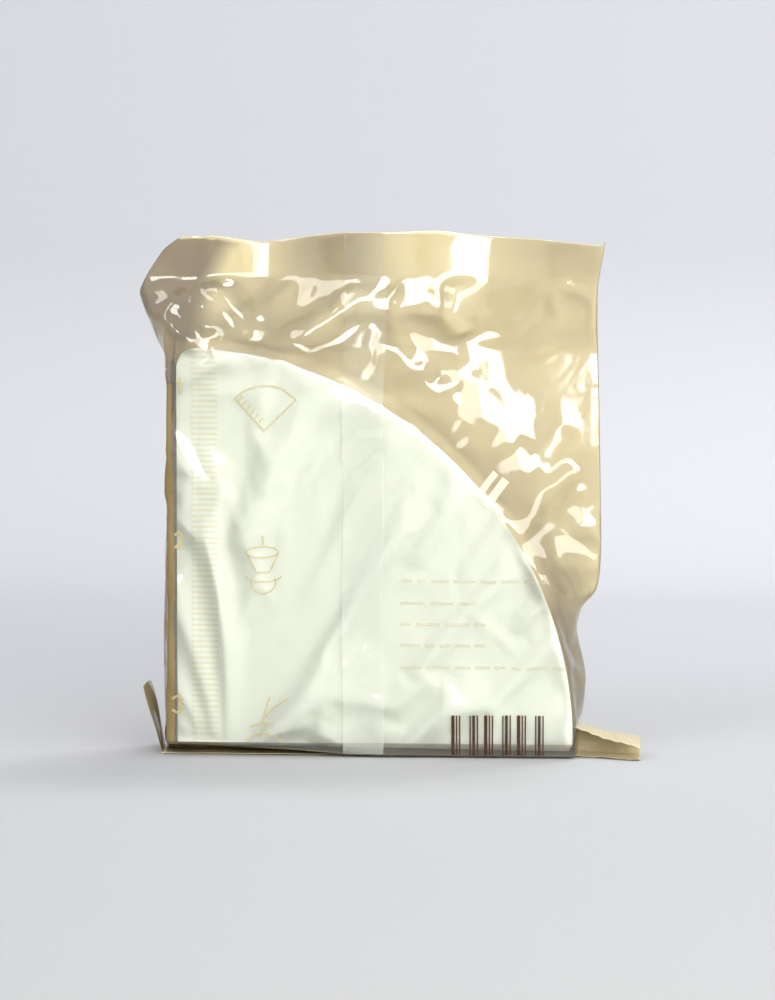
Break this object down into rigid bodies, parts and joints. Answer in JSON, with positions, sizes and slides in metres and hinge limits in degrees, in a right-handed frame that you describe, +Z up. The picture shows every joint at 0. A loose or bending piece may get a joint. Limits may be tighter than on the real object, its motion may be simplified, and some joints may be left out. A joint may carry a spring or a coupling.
{
  "type": "pack of paper coffee filters",
  "caption": "Sealed clear-film pack of quarter-round two-ply paper coffee filters with crimped edges, standing on its folded bottom seal.",
  "frame": {"origin": "on the surface that the pack stands on, in the folded bottom seal under the middle of the bag", "axes": "+Z up from the bottom seal to the top seal, +Y from the clear side with the lap seam to the printed side, +X towards the long ear of the bottom seal"},
  "size_m": [0.1654, 0.0347, 0.1706],
  "materials": {
    "film": "gloss",
    "filter_paper": "matt"
  },
  "bodies": {
    "root": {"bag": "film", "filter_01": "filter_paper", "filter_02": "filter_paper", "filter_03": "filter_paper", "filter_04": "filter_paper", "filter_05": "filter_paper", "filter_06": "filter_paper", "filter_07": "filter_paper", "filter_08": "filter_paper", "filter_09": "filter_paper", "filter_10": "filter_paper", "filter_11": "filter_paper", "filter_12": "filter_paper", "filter_13": "filter_paper", "filter_14": "filter_paper", "filter_15": "filter_paper", "filter_16": "filter_paper", "filter_17": "filter_paper", "filter_18": "filter_paper", "filter_19": "filter_paper", "filter_20": "filter_paper", "filter_21": "filter_paper", "filter_22": "filter_paper", "filter_23": "filter_paper", "filter_24": "filter_paper", "filter_25": "filter_paper", "filter_26": "filter_paper", "filter_27": "filter_paper", "filter_28": "filter_paper", "filter_29": "filter_paper", "filter_30": "filter_paper", "filter_31": "filter_paper", "filter_32": "filter_paper", "filter_33": "filter_paper", "filter_34": "filter_paper", "filter_35": "filter_paper", "filter_36": "filter_paper", "filter_37": "filter_paper", "filter_38": "filter_paper", "filter_39": "filter_paper", "filter_40": "filter_paper", "filter_41": "filter_paper", "filter_42": "filter_paper", "filter_43": "filter_paper", "filter_44": "filter_paper", "filter_45": "filter_paper", "filter_46": "filter_paper", "filter_47": "filter_paper", "filter_48": "filter_paper", "filter_49": "filter_paper", "filter_50": "filter_paper"}
  },
  "joints": []
}
